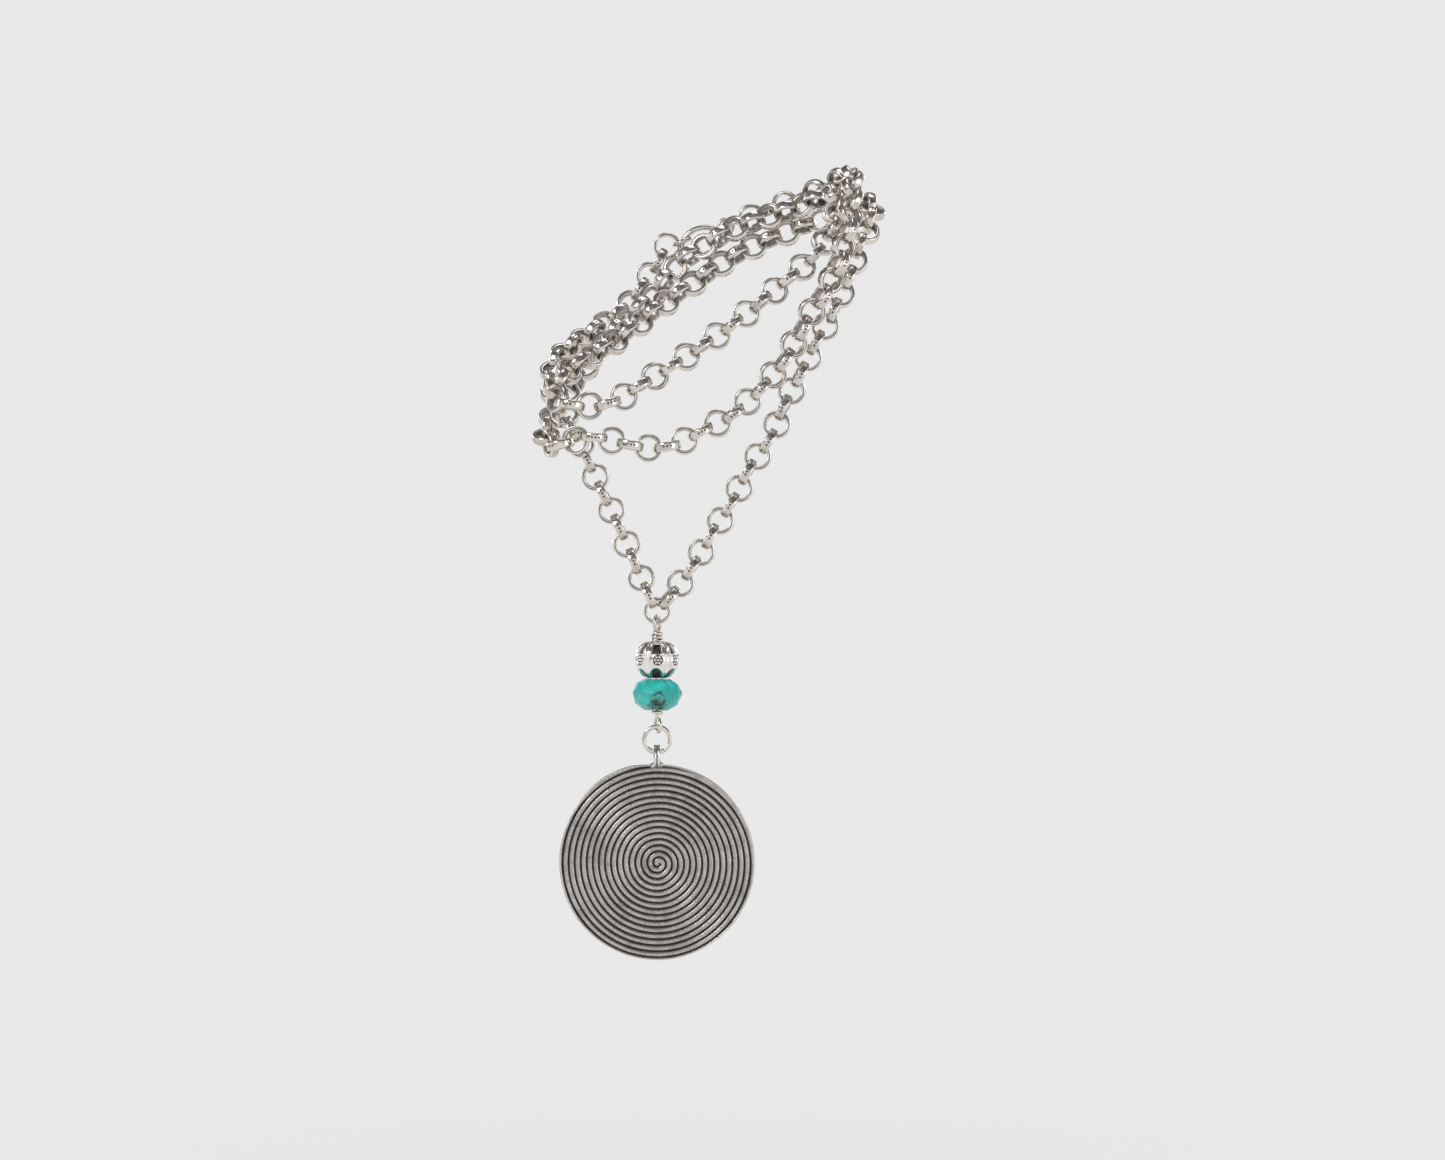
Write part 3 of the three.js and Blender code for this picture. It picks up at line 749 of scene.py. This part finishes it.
def lantern_bead():
    """A hollow looking bead of ribs, with an arched hollow above and below a stamped daisy in
    each panel."""
    centre = middle("silver_bead")
    columns, rows_up = 288, 76
    half, hole = 3.5, 0.75
    facing = -TURN / 4 + math.radians(1)
    half_panel = TURN / PANELS / 2
    top_z, top_high, top_wide = 2.06, 0.84, 1.16
    low_z, low_wide = -2.75, 1.12
    pit_deep, field_deep, seam_deep = 0.85, 0.17, 0.1
    rib_high, dot_high, lip_high = 0.2, 0.2, 0.08
    daisy = [(0.0, 0.0), *loop(0.64, 6)]

    def outline(z):
        return 4.06 * math.sqrt(1 - abs(z / 3.9) ** 2.3)

    def edge_line(measure):
        """A narrow raised line just outside a hollow, where the measure is a little over 1."""
        return math.exp(-(((measure - 1.13) / 0.1) ** 2))

    def surface(angle, z):
        """The radius and blackening at an angle and height."""
        r = outline(z)
        x = r * ((angle - facing + half_panel) % (2 * half_panel) - half_panel)
        beside = r * half_panel - abs(x)
        upper = smooth(0.2, 0.9, z)
        rib = math.exp(-(((beside - 0.24 * upper) / 0.34) ** 2))
        seam = upper * smooth(0.17, 0.05, beside)
        slope = top_wide - 0.34 * max(0.0, z - 1.3)
        top = max(abs(x + 0.1) / slope, abs(z - top_z) / top_high)
        low = math.hypot((x + 0.2) / low_wide, max(0.0, z - low_z) / low_wide)
        pit = max(smooth(1.0, 0.84, top), smooth(1.0, 0.84, low))
        ring_x, ring_z = x - 0.15, z + 0.05
        ring = math.hypot(ring_x, ring_z)
        field = smooth(1.06, 0.95, ring)
        dots = max(smooth(0.29, 0.13, math.hypot(ring_x - dx, ring_z - dz)) for dx, dz in daisy)
        lip = min(1.0, edge_line(top) + edge_line(low) + edge_line(ring))
        height = (rib_high * rib - seam_deep * seam - pit_deep * pit - field_deep * field
                  + dot_high * dots * field + lip_high * lip)
        blackened = max(pit, field * (1 - dots), 0.7 * seam)
        brightened = max(lip, rib, dots * field)
        return r + height, blackened - 0.9 * brightened * (1 - blackened)

    def ring_at(radii, z):
        """A ring of points at a height, with a radius for each."""
        return [centre + Vector((r * math.cos(TURN * j / columns), r * math.sin(TURN * j / columns), z))
                for j, r in enumerate(radii)]

    rows, dark = [], []
    for i in range(rows_up + 1):
        z = -half + 2 * half * i / rows_up
        ring = [surface(TURN * j / columns, z) for j in range(columns)]
        kept = 0.35 + 0.65 * smooth(half, half - 0.25, abs(z))
        rows.append(ring_at([outline(z) + (r - outline(z)) * kept for r, _ in ring], z))
        dark.append([tone for _, tone in ring])
    mouth = [(1.55, 3.56, 0.2), (1.1, 3.45, 0.6), (hole, 3.1, 0.9)]
    for r, z, tone in mouth + [(r, -z, tone) for r, z, tone in reversed(mouth)]:
        rows.append(ring_at([r] * columns, z))
        dark.append([tone] * columns)
    shell = Shell()
    shell.grid(rows, dark, wrap_rows=True)
    piece("lantern_bead", shell, "silver_bead", BEAD, ["silver_bead"])


def stone_bead():
    """A hand cut rondelle: rings of corners, each turned half a side from the next, so that its
    facets are triangles of uneven size."""
    centre = middle("turquoise_bead")
    tilt = Matrix.Rotation(math.radians(2.0), 3, "Y")
    levels = [(0.75, 2.85, 0), (2.35, 2.96, 0), (4.2, 2.05, 1), (5.02, 0.3, 0), (4.25, -1.95, 1),
              (2.45, -3.1, 0), (0.75, -3.0, 0)]
    rows = []
    for r, z, half_turn in levels:
        ring = []
        for i in range(STONE_SIDES):
            angle = TURN * (i + half_turn / 2) / STONE_SIDES
            loose = 0.0 if r < 1 else 1.0
            angle += math.radians(rng.uniform(-4, 4)) * loose
            out = r + rng.uniform(-0.12, 0.04) * loose
            ring.append(centre + tilt @ Vector((
                out * math.cos(angle), out * math.sin(angle), z + rng.uniform(-0.16, 0.16) * loose)))
        rows.append(ring)
    edit = bmesh.new()
    corners = [[edit.verts.new(p * MM) for p in ring] for ring in rows]
    for level, (upper, lower) in enumerate(zip(corners, corners[1:])):
        shift = levels[level][2] - levels[level + 1][2]
        for i in range(STONE_SIDES):
            j = (i + 1) % STONE_SIDES
            if shift == 0:
                edit.faces.new((upper[i], upper[j], lower[j], lower[i]))
            elif shift < 0:
                edit.faces.new((upper[i], upper[j], lower[i]))
                edit.faces.new((upper[j], lower[j], lower[i]))
            else:
                edit.faces.new((upper[i], lower[j], lower[i]))
                edit.faces.new((upper[i], upper[j], lower[j]))
    for i in range(STONE_SIDES):
        j = (i + 1) % STONE_SIDES
        edit.faces.new((corners[-1][i], corners[-1][j], corners[0][j], corners[0][i]))
    bmesh.ops.recalc_face_normals(edit, faces=edit.faces)
    mesh = bpy.data.meshes.new("turquoise_rondelle")
    edit.to_mesh(mesh)
    edit.free()
    made = into_scene("turquoise_rondelle", mesh)
    mesh.materials.append(turquoise(centre))
    worn = made.modifiers.new("worn edges", "BEVEL")
    worn.width = 0.07 * MM
    worn.segments = 2
    worn.limit_method = "ANGLE"
    worn.angle_limit = math.radians(6)
    mesh.shade_smooth()
    mesh.set_sharp_from_angle(angle=math.radians(5))
    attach(made, "turquoise_bead")
    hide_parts("turquoise_bead")


def joining_ring():
    """The wire ring between the wire and the disc, face on, with a sawn gap."""
    radius = 0.44
    line = sawn_ring(middle("jump_ring"), Vector((1, 0, 0)) * 2.5, UP * 2.5, -56, 3.5, DEPTH * 0.3, 64)
    section = cushion(radius, radius, 20, 0.72)
    ring = sweep(line, lambda share: section, DEPTH, rounded=radius * 0.4)
    piece("joining_ring_open", ring, "joining_ring", BRIGHT, ["jump_ring"])


def bail():
    """The grooved loop soldered to the disc's top edge."""
    section = mirrored([
        (0.0, 2.22, 1.0), (0.13, 2.36, 0.4), (0.36, 2.43, -0.6), (0.57, 2.32, 0.0), (0.65, 2.1, 0.0),
        (0.6, 1.75, 0.0), (0.44, 1.52, 0.0), (0.2, 1.46, 0.3), (0.0, 1.45, 0.5),
    ])
    ring = turned([(r, height) for height, r, _ in section], 56, middle("bail_loop"), Vector((1, 0, 0)),
                  [tone for _, _, tone in section])
    piece("bail_ring", ring, "disc", BRIGHT, ["bail_loop"])


def solder():
    """The solder round the bail's foot: the outline of four ellipsoids, a little uneven."""
    bail_at, disc_at = middle("bail_loop"), middle("disc_plate")
    foot = Vector((bail_at.x, bail_at.y, disc_at.z + 18.75))
    lumps = [((-0.25, 0, 0), (1.15, 1.0, 0.62)), ((0.78, -0.35, 0.18), (0.5, 0.5, 0.46)),
             ((0.2, 0.1, 0.1), (0.85, 1.05, 0.8)), ((-0.8, -0.2, -0.15), (0.55, 0.8, 0.42))]
    count, around = 22, 36
    rows = []
    for i in range(1, count):
        polar = math.pi * i / count
        ring = []
        for j in range(around):
            a = TURN * j / around
            out = Vector((math.sin(polar) * math.cos(a), math.sin(polar) * math.sin(a), math.cos(polar)))
            reach = 0.3
            for (cx, cy, cz), (sx, sy, sz) in lumps:
                scaled = Vector((out.x / sx, out.y / sy, out.z / sz))
                offset = Vector((cx / sx, cy / sy, cz / sz))
                b, c = scaled.dot(offset), offset.length_squared - 1
                inside = b * b - scaled.length_squared * c
                if inside > 0:
                    reach = max(reach, (b + math.sqrt(inside)) / scaled.length_squared)
            reach *= 1 + 0.07 * noise.noise(out * 2.6)
            ring.append(foot + out * reach)
        rows.append(ring)
    dark = [[0.12 + 0.4 * smooth(0.0, 0.5, noise.noise(p * 1.8)) for p in ring] for ring in rows]
    shell = Shell()
    first = shell.grid(rows, dark)
    shell.cap(range(first, first + around))
    shell.cap(range(first + around * (count - 2), first + around * (count - 1)))
    piece("bail_solder", shell, "disc", BRIGHT, [], sharp=80)


def disc_edge(phi):
    """How far the plate's edge is from the spiral's centre, clockwise from the left. It was pushed
    out a little at the upper left."""
    a = (math.degrees(phi) + 360) % 360
    pushed = DISC_EDGE_BULGE * smooth(30, 52, a) * smooth(86, 72, a)
    out = Vector((-math.cos(phi), 0, math.sin(phi)))
    uneven = 0.05 * noise.noise(3 * out)
    return DISC_RADIUS + pushed + uneven - SPIRAL_SHIFT.dot(out)


def disc_front(shell, centre):
    """The disc's front face: one strip that winds round with the groove, so that the groove's walls
    follow the mesh."""
    across = [
        (0.0, 1.0), (0.06, 0.97), (0.11, 0.78), (0.155, 0.46), (0.205, 0.24), (0.28, 0.1), (0.39, 0.02),
        (0.5, 0.0), (0.61, 0.02), (0.72, 0.1), (0.795, 0.24), (0.845, 0.46), (0.89, 0.78), (0.94, 0.97),
    ]
    columns = len(across)
    start = round(-(GROOVE_AT_LEFT / PITCH + 1) * DISC_STEPS)
    stop = TURNS * DISC_STEPS
    index = {}
    for i in range(start, stop + 1):
        phi = TURN * i / DISC_STEPS
        rim = disc_edge(phi) - 0.12
        for k, (share, depth) in enumerate(across):
            r = max(0.0, min(GROOVE_AT_LEFT + PITCH * (phi / TURN + share), rim))
            place = centre + Vector((-r * math.cos(phi), 0, r * math.sin(phi)))
            cut = smooth(GROOVE_FROM, GROOVE_FULL, phi if share < 0.5 else phi + TURN)
            wobble = 1 + 0.12 * noise.noise(Vector((place.x, place.z, 0)) * 0.45)
            inside = smooth(rim - 0.08, rim - 0.4, r)
            sunk = GROOVE_DEEP * depth * cut * wobble * inside
            lifted = FACE_SUNK * smooth(rim - 0.5, rim - 0.25, r)
            place.y = DISC_FRONT + FACE_SUNK + sunk - lifted
            index[i, k] = len(shell.points)
            shell.points.append(place)
            # Blackened groove: oxide in it, and painted shade where the darkening runs up its walls to the
            # ridges' edges. Beyond the last groove the rim is painted lighter, partly polish and partly a
            # painted highlight.
            shell.dark.append(cut * inside * smooth(0.15, 0.8, depth) - 0.4 * (1 - inside))
    for i in range(start, stop):
        stretch = PITCH * (i / DISC_STEPS + 1) * TURN / DISC_STEPS * 0.5
        begin, end = stretch * i, stretch * (i + 1)
        for k in range(columns):
            wraps = k + 1 == columns
            turn, column = (i + DISC_STEPS, 0) if wraps else (i, k + 1)
            if (turn + 1, column) not in index:
                continue
            shell.faces.append((index[i, k], index[i + 1, k], index[turn + 1, column], index[turn, column]))
            low = across[k][0] * PITCH + i / DISC_STEPS * PITCH
            high = (1 if wraps else across[k + 1][0]) * PITCH + i / DISC_STEPS * PITCH
            shell.chart += [(begin, low), (end, low), (end, high), (begin, high)]


def disc_back(shell, centre):
    """The disc's edge and its plain, lightly planished back."""
    steps = [TURN * j / DISC_STEPS for j in range(DISC_STEPS)]
    rounds = [(0.12, DISC_FRONT + 0.01), (0.03, DISC_FRONT + 0.1), (0.0, DISC_FRONT + 0.25),
              (0.0, DISC_BACK - 0.22), (0.05, DISC_BACK - 0.08), (0.16, DISC_BACK)]
    edge = [disc_edge(phi) for phi in steps]
    rings = [([reach - inset for reach in edge], y) for inset, y in rounds]
    rings += [([r] * DISC_STEPS, DISC_BACK) for r in (17.6, 15, 12, 9, 6, 3, 0.05)]
    rows = []
    for radii, y in rings:
        row = []
        for phi, r in zip(steps, radii):
            place = centre + Vector((-r * math.cos(phi), 0, r * math.sin(phi)))
            dent = 0.03 * noise.noise(Vector((place.x, place.z, 5)) * 0.55) if y == DISC_BACK else 0.0
            place.y = y + dent
            row.append(place)
        rows.append(row)
    # The edge's three front rounds are painted lighter, partly polish and partly a painted highlight.
    tones = [[-0.35 if i < 3 else 0.0] * DISC_STEPS for i in range(len(rows))]
    shell.grid(rows, tones, along=[0.6 * i for i in range(len(rows))],
               across=[TURN * DISC_RADIUS * j / DISC_STEPS for j in range(DISC_STEPS + 1)])


def spiral_disc():
    """The disc, with its front strip, edge and back in one mesh."""
    centre = middle("disc_plate") + SPIRAL_SHIFT
    shell = Shell()
    disc_front(shell, centre)
    disc_back(shell, centre)
    piece("spiral_disc", shell, "disc", PLATE, ["disc_plate"], sharp=50, merge=0.02)


# ---- clasp


def clasp():
    """A lobster clasp: claw, eye, forked ears, sprung lever and rivet, in the CAD's places."""
    rings = [middle("clasp_ring"), middle("end_ring")]
    pin = middle("clasp_pin")
    u = (rings[1] - rings[0]).normalized()
    w = DEPTH.cross(u) if DEPTH.cross(u).dot(pin - rings[0]) > 0 else u.cross(DEPTH)
    origin = rings[0] - u * 2.6
    core = origin + u * 10.4 + w * 1.2
    eye_radius, lever_half, ear_aside = 1.45, 0.38, 0.76

    def claw_line(start, end, count):
        return arc(core, u * 3.85, w * 2.65, start, end, count)

    def claw_section(share):
        slim = smooth(0.55, 1.0, share)
        return cushion(0.56 - 0.2 * slim, 1.0 - 0.28 * slim)

    shell = sweep(claw_line(163, 393, 54), claw_section, u, rounded=0.22)
    eye = origin + u * 4.85
    shell.add(sweep(arc(eye, u * eye_radius, w * eye_radius, 0, 350, 36),
                    lambda share: cushion(0.36, 0.62), u, closed=True))
    link = [pin, *claw_line(146, 168, 5)]
    for side in (-1, 1):
        ear = [p + DEPTH * side * ear_aside for p in link]
        shell.add(sweep(ear, lambda share: cushion(0.84 - 0.25 * share, 0.21), u, rounded=0.5))
    piece("clasp_claw", shell, "chain", BRIGHT, ["clasp_body"])

    lever = sweep(claw_line(132, 48, 26),
                  lambda share: cushion(0.5 - 0.16 * smooth(0.3, 1, share), lever_half), u,
                  rounded=0.18)
    thumb = core + u * 4.4 * math.cos(math.radians(104)) + w * 3.2 * math.sin(math.radians(104))
    lever.add(button(thumb, DEPTH, 0.6, -lever_half, lever_half, 0.14))
    lever.add(button(pin, DEPTH, 0.72, -lever_half, lever_half, 0.1))
    piece("clasp_thumb_lever", lever, "lever", BRIGHT, ["clasp_lever"])

    spring = sweep(arc(pin, u * 0.98, w * 0.98, 170, 262, 14), lambda share: cushion(0.11, 0.33), u)
    piece("clasp_spring_strip", spring, "chain", STEEL, ["clasp_spring"])
    rivet = button(pin, DEPTH, 0.3, -1.0, 1.0, 0.05)
    for side in (-1, 1):
        rivet.add(button(pin, DEPTH * side, 0.44, 0.93, 1.12, 0.08))
    piece("clasp_rivet", rivet, "chain", STEEL, ["clasp_pin"])

    for name, node_name, centre, cut in (("clasp_joining_ring", "clasp_ring", rings[0], 70),
                                         ("clasp_end_ring", "end_ring", rings[1], 110)):
        line = sawn_ring(centre, u * 1.8, DEPTH * 1.8, cut, 4, w * 0.14, 48)
        piece(name, wire(line, 0.4, w), "chain", BRIGHT, [node_name])


# ---- studio


def camera():
    """The photograph's camera."""
    data = bpy.data.cameras.new("camera")
    data.lens = LENS
    data.sensor_width = SENSOR
    data.clip_start, data.clip_end = 0.05, 50
    made = into_scene("camera", data)
    away = VIEW_WIDTH * LENS / SENSOR
    made.location = Vector((VIEW_CENTRE[0], middle("disc_plate").y - away, VIEW_CENTRE[1])) * MM
    made.rotation_euler = (math.radians(90), 0, 0)
    bpy.context.scene.camera = made


def softbox(name, place, size, power, lit):
    """A square light that faces the pendant and lights only what is in the collection lit."""
    data = bpy.data.lights.new(name, "AREA")
    data.size = size
    data.energy = power
    made = into_scene(name, data)
    made.location = place
    target = Vector((VIEW_CENTRE[0], 0, VIEW_CENTRE[1])) * MM
    made.rotation_euler = (target - Vector(place)).to_track_quat("-Z", "Y").to_euler()
    made.light_linking.receiver_collection = lit


def ground():
    """A pale floor under everything."""
    mesh = bpy.data.meshes.new("floor")
    reach, level = 30, FLOOR_Z * MM
    mesh.from_pydata([(-reach, -reach, level), (reach, -reach, level), (reach, reach, level),
                      (-reach, reach, level)], [], [(0, 1, 2, 3)])
    floor = into_scene("floor", mesh)
    material, _, surface = blank_material("floor_paint")
    surface.inputs["Base Color"].default_value = (0.83, 0.83, 0.83, 1)
    surface.inputs["Roughness"].default_value = 1
    surface.inputs["Specular IOR Level"].default_value = 0
    mesh.materials.append(material)
    floor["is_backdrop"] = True


def surround():
    """A pale surround. Metal sees a dimmer one with darker strips, so that its shape reads."""
    world = bpy.data.worlds.new("studio")
    world.use_nodes = True
    bpy.context.scene.world = world
    tree = world.node_tree
    path = node(tree, "LightPath")
    place = node(tree, "TexCoord").outputs["Generated"]
    axes = node(tree, "SeparateXYZ", {"Vector": place}).outputs
    diagonal = maths(tree, "ABSOLUTE", maths(tree, "MULTIPLY", axes["X"], axes["Y"]))
    level = maths(tree, "SUBTRACT", 1.0, maths(tree, "MULTIPLY", axes["Z"], axes["Z"]))
    strips = ranged(tree, maths(tree, "DIVIDE", diagonal, level), 0.36, 0.47)
    above = tint(tree, ranged(tree, axes["Z"], 0.1, 0.55), (0.93, 0.925, 0.92), (0.18, 0.18, 0.185))
    mirrored = tint(tree, strips, above, (0.1, 0.1, 0.105))
    lit = tint(tree, path.outputs["Is Glossy Ray"], (0.98, 0.98, 0.98), mirrored)
    seen = tint(tree, path.outputs["Is Camera Ray"], lit, (0.81, 0.81, 0.81))
    tree.links.new(seen, tree.nodes["Background"].inputs["Color"])


def lights():
    """Large soft lights, for the necklace only."""
    lit = bpy.data.collections.new("necklace")
    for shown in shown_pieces():
        lit.objects.link(shown)
    softbox("key", (-0.75, -0.75, 0.55), 0.5, 4.2, lit)
    softbox("fill", (0.85, -0.7, 0.1), 0.6, 2.0, lit)
    softbox("top", (0.1, 0.1, 0.95), 0.6, 2.4, lit)
    softbox("rim_left", (-0.8, 0.75, 0.15), 0.4, 1.6, lit)
    softbox("rim_right", (0.75, 0.8, 0.3), 0.4, 1.6, lit)


camera()
laps()
strand("left", 9)
strand("right", 16)
apex_ring()
hook_wire()
stop_coil()
lantern_bead()
stone_bead()
joining_ring()
bail()
solder()
spiral_disc()
clasp()
ground()
surround()
lights()
bpy.context.scene.view_settings.view_transform = "Standard"
